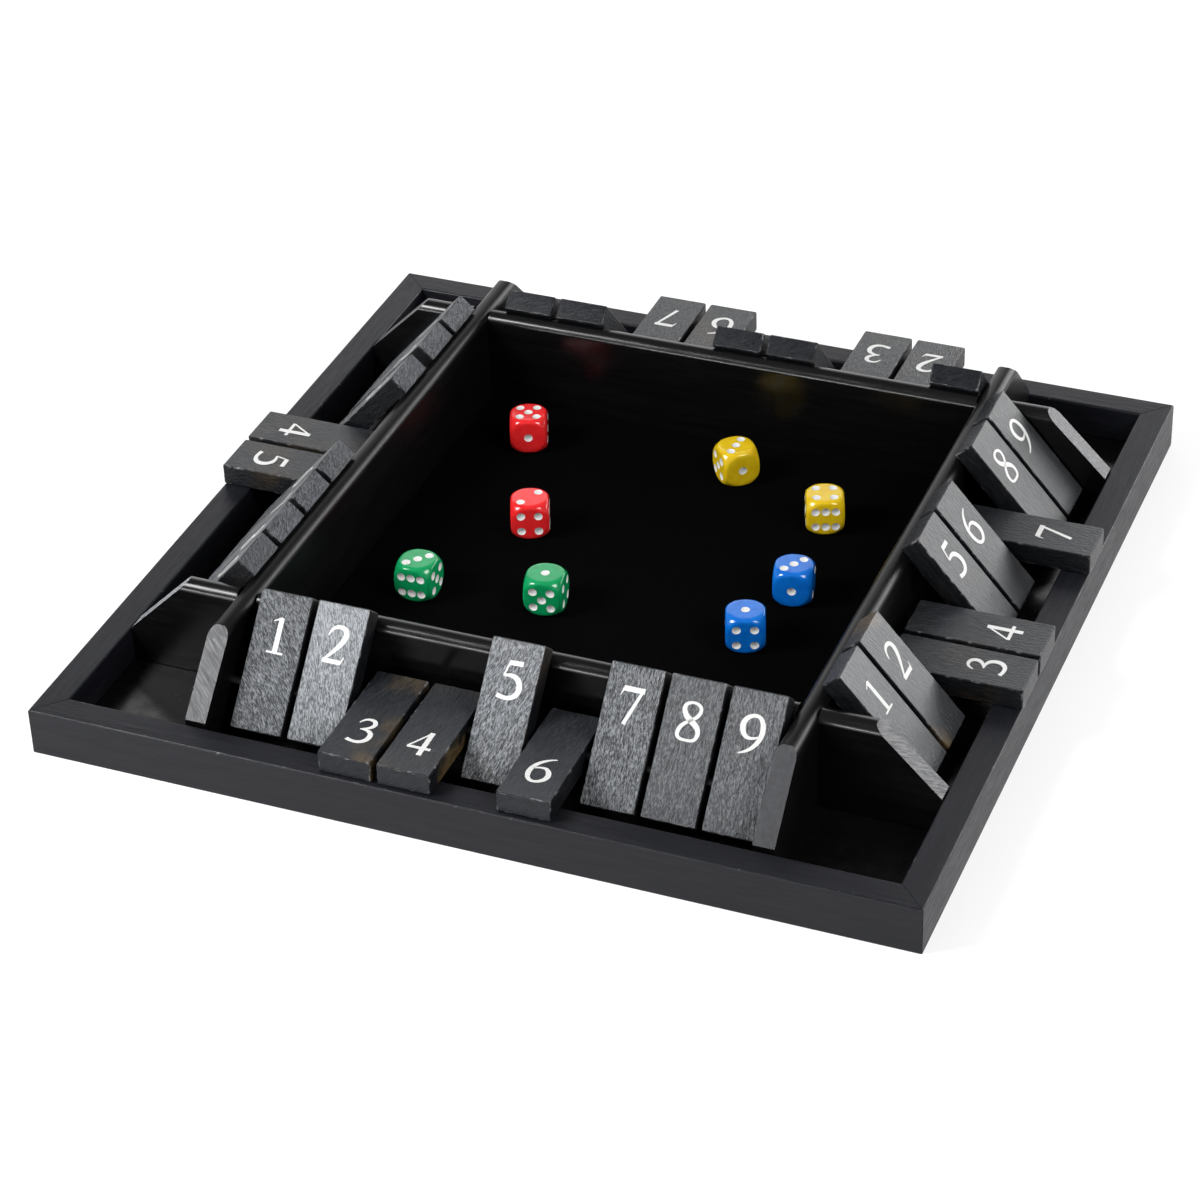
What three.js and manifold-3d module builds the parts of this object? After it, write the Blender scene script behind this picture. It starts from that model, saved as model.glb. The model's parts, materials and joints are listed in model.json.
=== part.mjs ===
// Shut the box game for four players: a square board with a dice tray in the middle,
// nine number tiles on a rod along each side, and eight dice lying in the tray.
// Millimetres, +Z up. The origin is at the bottom centre of the frame, and the front edge runs along X.
// The pose is the photographed one: some tiles stand against the tray wall, some are shut flat on the rim.

import * as THREE from 'three';
import { RoundedBoxGeometry } from 'three/addons/geometries/RoundedBoxGeometry.js';
import { mergeVertices } from 'three/addons/utils/BufferGeometryUtils.js';
import Module from 'manifold-3d';

const wasm = await Module();
wasm.setup();

// Outer frame and base panel
const frameSide = 356;
const frameHeight = 20;
const railWidth = 12;
const railEdgeRadius = 1;
const panelThickness = 5;
const panelRebate = 4;
const seamClearance = 0.3;

// Tray and its walls
const wallThickness = 8.5;
const sideWallTop = 47.5;
const crossWallDrop = 0.8;
const beadRadius = 3.75;
const lapHeight = 26;
const lapClearance = 0.3;
const endSlopeDeg = 45;
const traySetBack = 2;
const liningThickness = 1.2;
const liningClearance = 0.3;

// Pivot rods
const rodRadius = 1.6;
const rodEngagement = 6;
const rodClearance = 0.3;
const rodEndClearance = 0.3;

// Number tiles. The tail is the end inside the rod. Its gap is to the tray wall when the tile is shut,
// and its swing gap is to the rail when the tile turns. A row has some play along its rod.
const tilesPerSide = 9;
const tileLength = 54.4;
const tileThickness = 9;
const tileGap = 2.35;
const rowPlay = 6.7;
const tailGap = 5.6;
const swingGap = 5.65;
const tileEdgeRadius = 0.6;
const boreClearance = 0.3;
const seatClearance = 0.3;
const leanClearance = 0.3;

// Dice
const dieSide = 16;
const dieEdgeRadius = 1;
const dieCornerCut = 2.86;
const pipRadius = 1.8;
const pipDepth = 0.6;
const pipSpread = 3.6;
const pipSpreadOfSix = 4.2;
const dieSeatClearance = 0.3;

// Facets of the round shapes
const beadFacets = 12;
const boreFacets = 16;
const edgeFacets = 2;
const pipFacets = 8;
const dieEdgeFacets = 2;
const dieBallFacets = 32;

// Places that follow from the sizes above. The tiles and the walls leave the middle of the frame to the
// tray. Inside the rail, a tile's length is shared by its tail and the circle that the tail's corner swings in.
const frameHalf = frameSide / 2;
const frameInner = frameHalf - railWidth;
const traySide = frameSide - 2 * (tileLength + tailGap + wallThickness);
const trayHalf = traySide / 2;
const tailRoom = tileLength - railWidth - swingGap;
const tileTail = (tailRoom ** 2 - (tileThickness / 2) ** 2) / (2 * tailRoom);
const tileWidth = (traySide - rowPlay - (tilesPerSide - 1) * tileGap) / tilesPerSide;
const wallMiddle = trayHalf + wallThickness / 2;
const wallFoot = panelThickness + seamClearance;
const wallReach = frameInner - seamClearance;
const liningTop = panelThickness + liningThickness;
const tileHead = tileLength - tileTail;
const pivotOut = frameHalf - tileHead;
const pivotHeight = frameHeight + seatClearance + tileThickness / 2;
const dieCornerReach = Math.sqrt(3) * dieSide / 2 - dieCornerCut;
const tilePitch = tileWidth + tileGap;

// The four sides, as quarter turns of the front one. The front and back walls are a little lower.
// Each row has slid along its rod by a share of its play, and stray tiles have slid on by another share.
const crossWallTop = sideWallTop - crossWallDrop;
const sides = [
  { name: 'front', quarterTurns: 0, wallTop: crossWallTop, shut: [3, 4, 6], slipShare: 0.3 },
  { name: 'right', quarterTurns: 1, wallTop: sideWallTop, shut: [3, 4, 7], slipShare: 0.37 },
  { name: 'back', quarterTurns: 2, wallTop: crossWallTop, shut: [2, 3, 6, 7], slipShare: -0.42 },
  { name: 'left', quarterTurns: 3, wallTop: sideWallTop, shut: [4, 5], slipShare: 0.22 },
];
const strays = { side: 'left', numbers: [1, 2], slipShare: -0.63 };

// The dice lie at shares of half the tray from its middle, to the right and to the back.
// Each is turned about +Z, and shows the three numbers named on its top, front and right faces.
const red = 0xc8141c;
const green = 0x0f8a44;
const yellow = 0xe0a410;
const blue = 0x1450b4;
const dice = [
  { name: 'red_back', colour: red, placeShares: [-0.713, 0.709], turnDeg: 20, shows: [5, 1, 3] },
  { name: 'red_front', colour: red, placeShares: [-0.477, 0.15], turnDeg: 21.6, shows: [2, 4, 6] },
  { name: 'green_left', colour: green, placeShares: [-0.706, -0.367], turnDeg: 1.2, shows: [3, 6, 5] },
  { name: 'green_right', colour: green, placeShares: [-0.229, -0.298], turnDeg: 9.2, shows: [1, 5, 4] },
  { name: 'yellow_left', colour: yellow, placeShares: [0.132, 0.745], turnDeg: 40.7, shows: [3, 1, 2] },
  { name: 'yellow_right', colour: yellow, placeShares: [0.559, 0.54], turnDeg: 21.4, shows: [4, 6, 2] },
  { name: 'blue_back', colour: blue, placeShares: [0.605, 0.053], turnDeg: 11.7, shows: [3, 1, 2] },
  { name: 'blue_front', colour: blue, placeShares: [0.536, -0.279], turnDeg: 19.4, shows: [1, 4, 2] },
];

// Finishes
const paintedBlack = { color: 0x2c2d30, roughness: 0.45, metalness: 0 };
const glossBlack = { color: 0x1b1b1d, roughness: 0.3, metalness: 0 };
const stainedWood = { color: 0x34383b, roughness: 0.5, metalness: 0 };
const darkFelt = { color: 0x0c0c0e, roughness: 0.95, metalness: 0 };
const steel = { color: 0x9a9c9f, roughness: 0.3, metalness: 1 };

const group = new THREE.Group();
group.name = 'shut_the_box_game';

// A closed solid of a three.js geometry, for cutting
function toSolid(geometry) {
  const bare = geometry.clone();
  bare.deleteAttribute('normal');
  bare.deleteAttribute('uv');
  const merged = mergeVertices(bare);
  const vertProperties = new Float32Array(merged.attributes.position.array);
  const triVerts = new Uint32Array(merged.index.array);
  return new wasm.Manifold(new wasm.Mesh({ numProp: 3, vertProperties, triVerts }));
}

// The three.js geometry of a solid, with flat-shaded faces
function toGeometry(solid) {
  const mesh = solid.getMesh();
  const indexed = new THREE.BufferGeometry();
  indexed.setAttribute('position', new THREE.BufferAttribute(new Float32Array(mesh.vertProperties), 3));
  indexed.setIndex(new THREE.BufferAttribute(new Uint32Array(mesh.triVerts), 1));
  const flat = indexed.toNonIndexed();
  flat.computeVertexNormals();
  return flat;
}

// Adds one named piece to its parent
function addPiece(parent, name, geometry, finish) {
  const piece = new THREE.Mesh(geometry, new THREE.MeshStandardMaterial(finish));
  piece.name = name;
  parent.add(piece);
  return piece;
}

// A box given by its middle and its sizes
function boxAt(x, y, z, sizeX, sizeY, sizeZ) {
  return new THREE.BoxGeometry(sizeX, sizeY, sizeZ).translate(x, y, z);
}

// Points of a quarter circle from one angle to the next
function quarterArc(x, y, radius, fromQuarter, facets) {
  const points = [];
  for (let i = 0; i <= facets; i += 1) {
    const angle = (fromQuarter + i / facets) * Math.PI / 2;
    points.push(new THREE.Vector2(x + radius * Math.cos(angle), y + radius * Math.sin(angle)));
  }
  return points;
}

// A bar along X from a profile drawn as (distance towards the front, height).
// Its length may follow that distance, which mitres its ends.
function barAlongX(shape, lengthAt) {
  const geometry = new THREE.ExtrudeGeometry(shape, { depth: 1, bevelEnabled: false });
  const position = geometry.attributes.position;
  for (let i = 0; i < position.count; i += 1) {
    const forward = position.getX(i);
    const height = position.getY(i);
    const along = (0.5 - position.getZ(i)) * lengthAt(forward);
    position.setXYZ(i, along, -forward, height);
  }
  geometry.computeVertexNormals();
  return geometry;
}

// One frame rail: rebated for the panel, eased at its two upper edges, mitred at both ends
function railGeometry() {
  const roundHeight = frameHeight - railEdgeRadius;
  const rebateHeight = panelThickness + seamClearance;
  const mitreSetBack = seamClearance / Math.SQRT2;
  const outline = [
    new THREE.Vector2(frameHalf, 0),
    ...quarterArc(frameHalf - railEdgeRadius, roundHeight, railEdgeRadius, 0, edgeFacets),
    ...quarterArc(frameInner + railEdgeRadius, roundHeight, railEdgeRadius, 1, edgeFacets),
    new THREE.Vector2(frameInner, rebateHeight),
    new THREE.Vector2(frameInner + panelRebate, rebateHeight),
    new THREE.Vector2(frameInner + panelRebate, 0),
  ];
  return barAlongX(new THREE.Shape(outline), (forward) => 2 * (forward - mitreSetBack));
}

// One tray wall along X, centred on the tray: rounded top with a small ledge on each side, sloped ends,
// blind bores for the pivot rods on its inner face (towards +Y), and a lap at each tray corner.
// An end that reaches less far than the frame is cut off upright.
function wallGeometry(top, leftReach, rightReach, lapFromBelow) {
  const ledgeHeight = top - beadRadius;
  const halfThickness = wallThickness / 2;
  const section = [
    new THREE.Vector2(halfThickness, wallFoot),
    new THREE.Vector2(halfThickness, ledgeHeight),
    ...quarterArc(0, ledgeHeight, beadRadius, 0, beadFacets / 2),
    ...quarterArc(0, ledgeHeight, beadRadius, 1, beadFacets / 2).slice(1),
    new THREE.Vector2(-halfThickness, ledgeHeight),
    new THREE.Vector2(-halfThickness, wallFoot),
  ];
  const bar = toSolid(barAlongX(new THREE.Shape(section), () => 2 * wallReach));

  const slope = Math.tan(THREE.MathUtils.degToRad(endSlopeDeg));
  const run = (sideWallTop - frameHeight) / slope;
  const side = [
    new THREE.Vector2(-leftReach, 0),
    new THREE.Vector2(rightReach, 0),
    new THREE.Vector2(rightReach, frameHeight + (frameInner - rightReach) * slope),
    new THREE.Vector2(frameInner - run, sideWallTop),
    new THREE.Vector2(run - frameInner, sideWallTop),
    new THREE.Vector2(-leftReach, frameHeight + (frameInner - leftReach) * slope),
  ];
  const slabDepth = 2 * wallThickness;
  const slab = new THREE.ExtrudeGeometry(new THREE.Shape(side), { depth: slabDepth, bevelEnabled: false });
  slab.rotateX(Math.PI / 2).translate(0, wallThickness, 0);
  let wall = bar.intersect(toSolid(slab));

  const lapWidth = wallThickness + 2 * lapClearance;
  const lapBottom = lapFromBelow ? 0 : lapHeight - lapClearance / 2;
  const lapTop = lapFromBelow ? lapHeight + lapClearance / 2 : 2 * sideWallTop;
  const boreDepth = rodEngagement + rodEndClearance;
  for (const end of [-1, 1]) {
    const lapMiddle = (lapBottom + lapTop) / 2;
    const lap = boxAt(end * wallMiddle, 0, lapMiddle, lapWidth, 2 * wallThickness, lapTop - lapBottom);
    wall = wall.subtract(toSolid(lap));
    const boreRadius = rodRadius + rodClearance;
    const bore = new THREE.CylinderGeometry(boreRadius, boreRadius, 2 * boreDepth, boreFacets);
    bore.translate(end * pivotOut, halfThickness, pivotHeight);
    wall = wall.subtract(toSolid(bore));
  }
  return toGeometry(wall);
}

// One number tile about its pivot: lying flat, its long end towards the front, bored for the rod
function tileGeometry() {
  const headCentre = tileHead - tileEdgeRadius;
  const tailCentre = tileTail - tileEdgeRadius;
  const faceCentre = tileThickness / 2 - tileEdgeRadius;
  const outline = new THREE.Shape([
    ...quarterArc(headCentre, faceCentre, tileEdgeRadius, 0, edgeFacets),
    ...quarterArc(-tailCentre, faceCentre, tileEdgeRadius, 1, edgeFacets),
    ...quarterArc(-tailCentre, -faceCentre, tileEdgeRadius, 2, edgeFacets),
    ...quarterArc(headCentre, -faceCentre, tileEdgeRadius, 3, edgeFacets),
  ]);
  const bore = new THREE.Path();
  const boreRadius = rodRadius + boreClearance;
  for (let i = 0; i < boreFacets; i += 1) {
    const angle = -2 * Math.PI * i / boreFacets;
    const x = boreRadius * Math.cos(angle);
    const y = boreRadius * Math.sin(angle);
    if (i === 0) bore.moveTo(x, y);
    else bore.lineTo(x, y);
  }
  bore.closePath();
  outline.holes.push(bore);
  return barAlongX(outline, () => tileWidth);
}

// How far a standing tile is turned back from lying flat, so that it leans on its wall's rounded top
function standingTurn(wallTop) {
  const across = pivotOut - wallMiddle;
  const up = wallTop - beadRadius - pivotHeight;
  const reach = Math.hypot(across, up);
  const offset = beadRadius + tileThickness / 2 + leanClearance;
  const lean = Math.atan2(up, across) + Math.asin(offset / reach);
  return Math.PI - lean;
}

// Opposite faces of a die add up to this
const oppositeSum = 7;

// Pip places of each number, in spreads across and up the face
const pipRows = {
  1: [[0, 0]],
  2: [[-1, -1], [1, 1]],
  3: [[-1, -1], [0, 0], [1, 1]],
  4: [[-1, -1], [1, -1], [-1, 1], [1, 1]],
  5: [[-1, -1], [1, -1], [0, 0], [-1, 1], [1, 1]],
  6: [[-1, -1], [0, -1], [1, -1], [-1, 1], [0, 1], [1, 1]],
};

// One face of a die: its number, and the directions that run across it and up it
function dieFace(number, across, up) {
  const acrossAxis = new THREE.Vector3(...across);
  const upAxis = new THREE.Vector3(...up);
  const outAxis = new THREE.Vector3().crossVectors(acrossAxis, upAxis);
  return { number, placing: new THREE.Matrix4().makeBasis(acrossAxis, upAxis, outAxis) };
}

// One die: a cube with rounded edges, whose corners are turned off round, and a shallow dish for each pip
function dieGeometry(top, front, right) {
  const block = new RoundedBoxGeometry(dieSide, dieSide, dieSide, dieEdgeFacets, dieEdgeRadius);
  const ball = new THREE.SphereGeometry(dieCornerReach, dieBallFacets, dieBallFacets / 2);
  let die = toSolid(block).intersect(toSolid(ball));
  const faces = [
    dieFace(top, [1, 0, 0], [0, 1, 0]),
    dieFace(oppositeSum - top, [1, 0, 0], [0, -1, 0]),
    dieFace(front, [1, 0, 0], [0, 0, 1]),
    dieFace(oppositeSum - front, [-1, 0, 0], [0, 0, 1]),
    dieFace(right, [0, 1, 0], [0, 0, 1]),
    dieFace(oppositeSum - right, [0, -1, 0], [0, 0, 1]),
  ];
  for (const face of faces) {
    const spread = face.number === 6 ? pipSpreadOfSix : pipSpread;
    for (const [across, up] of pipRows[face.number]) {
      const dish = new THREE.ConeGeometry(2 * pipRadius, 2 * pipDepth, pipFacets);
      dish.rotateX(-Math.PI / 2).translate(across * spread, up * pipSpread, dieSide / 2);
      dish.applyMatrix4(face.placing);
      die = die.subtract(toSolid(dish));
    }
  }
  return toGeometry(die);
}

// Frame rails and the base panel let into them
for (const side of sides) {
  const turned = new THREE.Group();
  turned.rotation.z = side.quarterTurns * Math.PI / 2;
  group.add(turned);
  addPiece(turned, `frame_rail_${side.name}`, railGeometry(), paintedBlack);
}
const panelSide = 2 * (frameInner + panelRebate - seamClearance);
const panel = boxAt(0, 0, panelThickness / 2, panelSide, panelSide, panelThickness);
addPiece(group, 'base_panel', panel, paintedBlack);

// Everything inside the frame sits a little towards the back
const inside = new THREE.Group();
inside.position.y = traySetBack;
group.add(inside);

const liningSide = traySide - 2 * liningClearance;
const liningMiddle = panelThickness + liningThickness / 2;
addPiece(inside, 'tray_lining', boxAt(0, 0, liningMiddle, liningSide, liningSide, liningThickness), darkFelt);

// Walls: the left and right ones run through on top at the corners, the front and back ones pass below
for (const side of sides) {
  const isSideWall = side.quarterTurns % 2 === 1;
  const turned = new THREE.Group();
  turned.rotation.z = side.quarterTurns * Math.PI / 2;
  inside.add(turned);
  const leftReach = side.name === 'left' ? wallReach - traySetBack : wallReach;
  const rightReach = side.name === 'right' ? wallReach - traySetBack : wallReach;
  const geometry = wallGeometry(side.wallTop, leftReach, rightReach, isSideWall);
  const wall = addPiece(turned, `tray_wall_${side.name}`, geometry, glossBlack);
  wall.position.y = -wallMiddle;
}

// Rods and tiles of each side
for (const side of sides) {
  const row = new THREE.Group();
  row.rotation.z = side.quarterTurns * Math.PI / 2;
  inside.add(row);

  const rodLength = traySide + 2 * rodEngagement;
  const rodGeometry = new THREE.CylinderGeometry(rodRadius, rodRadius, rodLength, boreFacets);
  rodGeometry.rotateZ(Math.PI / 2);
  const rod = addPiece(row, `pivot_rod_${side.name}`, rodGeometry, steel);
  rod.position.set(0, -pivotOut, pivotHeight);

  for (let number = 1; number <= tilesPerSide; number += 1) {
    const isStray = side.name === strays.side && strays.numbers.includes(number);
    const slipShare = side.slipShare + (isStray ? strays.slipShare : 0);
    const along = (number - (tilesPerSide + 1) / 2) * tilePitch + slipShare * rowPlay;
    const tile = addPiece(row, `tile_${side.name}_${number}`, tileGeometry(), stainedWood);
    tile.position.set(along, -pivotOut, pivotHeight);
    if (!side.shut.includes(number)) tile.rotation.x = -standingTurn(side.wallTop);
  }
}

// Dice on the lining
for (const die of dice) {
  const finish = { color: die.colour, roughness: 0.2, metalness: 0 };
  const piece = addPiece(inside, `die_${die.name}`, dieGeometry(...die.shows), finish);
  const height = liningTop + dieSeatClearance + dieSide / 2;
  piece.position.set(die.placeShares[0] * trayHalf, die.placeShares[1] * trayHalf, height);
  piece.rotation.z = THREE.MathUtils.degToRad(die.turnDeg);
}

export default group;
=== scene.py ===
# %% [markdown]
# # Shut the box for four players
#
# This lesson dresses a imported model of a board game: a square wooden frame, a walled dice tray, number
# tiles that turn on rods, and eight dice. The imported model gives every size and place. What it doesn't
# give is the look: eased edges, painted numerals, drilled pips, wood grain, gloss and wear.

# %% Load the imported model
import json
import math

import bmesh
import bpy
from mathutils import Matrix, Vector


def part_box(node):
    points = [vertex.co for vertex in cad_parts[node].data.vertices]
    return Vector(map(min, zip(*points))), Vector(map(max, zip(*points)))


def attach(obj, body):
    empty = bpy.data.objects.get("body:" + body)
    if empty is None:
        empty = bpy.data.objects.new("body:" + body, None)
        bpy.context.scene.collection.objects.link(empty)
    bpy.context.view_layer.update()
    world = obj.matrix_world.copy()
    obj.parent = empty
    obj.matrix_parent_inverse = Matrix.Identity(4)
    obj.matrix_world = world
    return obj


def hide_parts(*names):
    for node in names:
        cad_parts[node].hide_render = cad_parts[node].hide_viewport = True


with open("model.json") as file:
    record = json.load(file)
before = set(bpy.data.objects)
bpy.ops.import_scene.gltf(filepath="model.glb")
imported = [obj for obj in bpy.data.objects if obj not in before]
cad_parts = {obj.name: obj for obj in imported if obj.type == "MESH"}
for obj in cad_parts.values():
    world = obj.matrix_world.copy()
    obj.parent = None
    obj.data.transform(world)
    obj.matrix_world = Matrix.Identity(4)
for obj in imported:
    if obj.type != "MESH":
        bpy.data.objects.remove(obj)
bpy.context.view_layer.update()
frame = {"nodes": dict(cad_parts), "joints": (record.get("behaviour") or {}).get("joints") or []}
scene = bpy.context.scene
hinges = {joint["child"]: joint for joint in frame["joints"] if joint["type"] == "hinge"}
print("nodes", len(frame["nodes"]), "hinges", len(hinges))

# %% [markdown]
# ## Sizes
#
# Blender works in metres, and the maker's drawing is in millimetres, so every size is written once in
# millimetres and turned into metres by one factor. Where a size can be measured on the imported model,
# it is measured, so that the two can't drift apart. The set back is how far the middle of the tray sits
# behind the middle of the frame.

# %% Sizes of the board
MM = 0.001
SIDES = ["front", "right", "back", "left"]
rail_low, rail_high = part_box("frame_rail_front")
frame_half = -rail_low.y
frame_inner = -rail_high.y
frame_top = rail_high.z
seam_gap = 0.3 * MM
panel_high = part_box("base_panel")[1]
rebate_out = panel_high.x + seam_gap
rebate_up = panel_high.z + seam_gap
set_back = 2 * MM
bead_radius = 3.75 * MM
wall_top = {side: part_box(f"tray_wall_{side}")[1].z for side in SIDES}
wall_low, wall_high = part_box("tray_wall_front")
wall_foot = wall_low.z
wall_half = (wall_high.y - wall_low.y) / 2
wall_middle = set_back - (wall_high.y + wall_low.y) / 2
wall_reach = wall_high.x
print("frame half mm", round(frame_half / MM, 2), "wall middle mm", round(wall_middle / MM, 2))
print("wall tops mm", {side: round(top / MM, 2) for side, top in wall_top.items()})

# %% [markdown]
# ## Small helpers
#
# Each piece is modelled as a bmesh, which is Blender's editable mesh. A piece made of wood also carries
# two things for its material: where each point lies along the plank, so that the grain runs the right
# way however the piece is turned, and which faces are worn edges.

# %% Helpers for bmesh work
def sharp_edges(bm, least_deg=50):
    least = math.radians(least_deg)
    return [e for e in bm.edges if len(e.link_faces) == 2 and e.calc_face_angle(0) > least]


def ease(bm, edges, width, segments):
    band = bm.faces.layers.float.get("edge_band") or bm.faces.layers.float.new("edge_band")
    kept = [e for e in edges if e.is_valid]
    made = bmesh.ops.bevel(bm, geom=kept, offset=width, offset_type="OFFSET", segments=segments,
                           profile=0.5, affect="EDGES", clamp_overlap=True, material=-1)
    for face in made["faces"]:
        face[band] = 1.0


def mark_grain(bm, shift, lean_deg=0):
    layer = bm.verts.layers.float_vector.new("grain_at")
    lean = Matrix.Rotation(math.radians(lean_deg), 3, "Z")
    for vert in bm.verts:
        vert[layer] = lean @ vert.co + shift


def place(bm, matrix):
    bmesh.ops.transform(bm, matrix=matrix, verts=bm.verts)


def quarter_turns(count):
    return Matrix.Rotation(count * math.pi / 2, 4, "Z")


def stored_mesh(name, bm):
    mesh = bpy.data.meshes.new(name)
    bm.to_mesh(mesh)
    bm.free()
    return mesh


def add_object(name, data):
    thing = bpy.data.objects.new(name, data)
    scene.collection.objects.link(thing)
    return thing


# %% [markdown]
# ## From mesh to piece
#
# A finished piece is shaded smooth, apart from its creases, and rides on a body of the imported model. It
# stands for the node that it replaces, and its slots hold its finishes. Weighted normals keep
# the broad faces flat next to their eased edges.

# %% A piece of the board
def make_piece(name, bm, body, nodes, materials, crease_deg=35):
    for edge in bm.edges:
        edge.smooth = len(edge.link_faces) == 2 and edge.calc_face_angle(0) < math.radians(crease_deg)
    for face in bm.faces:
        face.smooth = True
    mesh = stored_mesh(name, bm)
    for material in materials:
        mesh.materials.append(material)
    piece = add_object(name, mesh)
    weighted = piece.modifiers.new("even_shading", "WEIGHTED_NORMAL")
    weighted.keep_sharp = True
    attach(piece, body)
    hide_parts(*nodes)
    return piece


# %% [markdown]
# ## Finishes
#
# The board is stained and painted wood, so most of its finishes share two effects. The first is grain:
# noise stretched along the plank. The second is edge wear: a broken pale line where the paint has rubbed
# off. Each is a node group, built once and given other numbers in each material.

# %% Helpers for node trees
def add_node(tree, kind, **values):
    node = tree.nodes.new(kind)
    for key, value in values.items():
        setattr(node, key, value)
    return node


def mark_on_mesh(tree, name):
    return add_node(tree, "ShaderNodeAttribute", attribute_name=name).outputs["Fac"]


def new_group(name, inputs, outputs):
    tree = bpy.data.node_groups.new(name, "ShaderNodeTree")
    for label, kind, value in inputs:
        socket = tree.interface.new_socket(name=label, in_out="INPUT", socket_type=kind)
        if value is not None:
            socket.default_value = value
    for label, kind in outputs:
        tree.interface.new_socket(name=label, in_out="OUTPUT", socket_type=kind)
    return tree, tree.nodes.new("NodeGroupInput"), tree.nodes.new("NodeGroupOutput")


def use_group(tree, group, **values):
    node = tree.nodes.new("ShaderNodeGroup")
    node.node_tree = group
    for key, value in values.items():
        node.inputs[key].default_value = value
    return node


def noise(tree, vector, scale, detail, roughness):
    node = add_node(tree, "ShaderNodeTexNoise")
    node.inputs["Scale"].default_value = scale
    node.inputs["Detail"].default_value = detail
    node.inputs["Roughness"].default_value = roughness
    tree.links.new(vector, node.inputs["Vector"])
    return node.outputs["Fac"]


def remap(tree, value, low, high, out_low=0.0, out_high=1.0):
    node = tree.nodes.new("ShaderNodeMapRange")
    node.inputs["From Min"].default_value = low
    node.inputs["From Max"].default_value = high
    node.inputs["To Min"].default_value = out_low
    node.inputs["To Max"].default_value = out_high
    tree.links.new(value, node.inputs["Value"])
    return node.outputs["Result"]


def combine(tree, operation, first, second):
    node = tree.nodes.new("ShaderNodeMath")
    node.operation = operation
    for socket, value in zip(node.inputs, (first, second)):
        if isinstance(value, (int, float)):
            socket.default_value = value
        else:
            tree.links.new(value, socket)
    return node.outputs[0]


def mix_colour(tree, mask, first, second):
    node = tree.nodes.new("ShaderNodeMix")
    node.data_type = "RGBA"
    tree.links.new(mask, node.inputs["Factor"])
    for socket, value in zip((node.inputs[6], node.inputs[7]), (first, second)):
        if isinstance(value, tuple):
            socket.default_value = (*value, 1)
        else:
            tree.links.new(value, socket)
    return node.outputs[2]


# %% Wood grain: streaks along the plank, with open pores
def build_grain():
    tree, given, out = new_group(
        "wood_grain",
        [("Place", "NodeSocketVector", None), ("Stretch", "NodeSocketVector", (1, 1, 1)),
         ("Fineness", "NodeSocketFloat", 1.0)],
        [("Streaks", "NodeSocketFloat"), ("Flecks", "NodeSocketFloat"), ("Pores", "NodeSocketFloat"),
         ("Patches", "NodeSocketFloat")])
    stretched = add_node(tree, "ShaderNodeVectorMath", operation="MULTIPLY")
    tree.links.new(given.outputs["Place"], stretched.inputs[0])
    tree.links.new(given.outputs["Stretch"], stretched.inputs[1])
    finer = add_node(tree, "ShaderNodeVectorMath", operation="SCALE")
    tree.links.new(stretched.outputs[0], finer.inputs[0])
    tree.links.new(given.outputs["Fineness"], finer.inputs["Scale"])
    streaks = noise(tree, finer.outputs[0], scale=420, detail=5, roughness=0.6)
    flecks = noise(tree, finer.outputs[0], scale=600, detail=2, roughness=0.6)
    pores = noise(tree, finer.outputs[0], scale=1500, detail=3, roughness=0.7)
    patches = noise(tree, given.outputs["Place"], scale=38, detail=3, roughness=0.55)
    for label, pattern, low, high in [("Streaks", streaks, 0.35, 0.65), ("Flecks", flecks, 0.28, 0.72),
                                      ("Pores", pores, 0.4, 0.62), ("Patches", patches, 0.5, 0.72)]:
        tree.links.new(remap(tree, pattern, low, high), out.inputs[label])
    return tree


# %% Edge wear: a broken line on the faces marked as edges
WEAR_CONTRAST = 9.0


def build_wear():
    tree, given, out = new_group(
        "edge_wear",
        [("Place", "NodeSocketVector", None), ("Least", "NodeSocketFloat", 0.55)],
        [("Worn", "NodeSocketFloat")])
    broken = noise(tree, given.outputs["Place"], scale=260, detail=4, roughness=0.65)
    above = combine(tree, "SUBTRACT", broken, given.outputs["Least"])
    clear = remap(tree, combine(tree, "MULTIPLY", above, WEAR_CONTRAST), 0.0, 1.0)
    worn = combine(tree, "MULTIPLY", clear, mark_on_mesh(tree, "edge_band"))
    tree.links.new(worn, out.inputs["Worn"])
    return tree


grain_group = build_grain()
wear_group = build_wear()
print("groups", [g.name for g in bpy.data.node_groups])


# %% Start of every material
def new_material(name, base, roughness, **constants):
    material = bpy.data.materials.new(name)
    material.use_nodes = True
    shader = material.node_tree.nodes["Principled BSDF"]
    shader.inputs["Base Color"].default_value = (*base, 1)
    shader.inputs["Roughness"].default_value = roughness
    for key, value in constants.items():
        shader.inputs[key.replace("_", " ")].default_value = value
    material.diffuse_color = (*base, 1)
    return material, material.node_tree, shader


def object_place(tree):
    return tree.nodes.new("ShaderNodeTexCoord").outputs["Object"]


def plank_place(tree):
    return add_node(tree, "ShaderNodeAttribute", attribute_name="grain_at").outputs["Vector"]


def add_bump(tree, shader, height, depth):
    bump = add_node(tree, "ShaderNodeBump")
    bump.inputs["Distance"].default_value = depth
    tree.links.new(height, bump.inputs["Height"])
    tree.links.new(bump.outputs["Normal"], shader.inputs["Normal"])


# %% [markdown]
# ## Wood finishes
#
# A wood finish mixes a dark and a light tone by the streaks of the grain, and its worn edges are paler.
# Three numbers that are stored on the mesh do the rest. Where "thin_stain" is high, patches of bare wood
# show. The second number paints glare: a pale silver tone on the raised grain, where the bump also rises.
# The third paints an even sheen: the same pale tone over everything. One way is a material for each tile,
# but 36 of them would have to be kept alike. With numbers on the mesh, one material serves them all.

# %% Bare wood, and painted glare and sheen
LEAST_BARE = 0.35
FLECK_SHARE, PORE_SHARE = 0.45, 0.55
GLARE_FROM, GLARE_FULL = 0.3, 0.8
PORE_HEIGHT, PLAIN_GRAIN_HEIGHT = 0.3, 0.25


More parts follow.
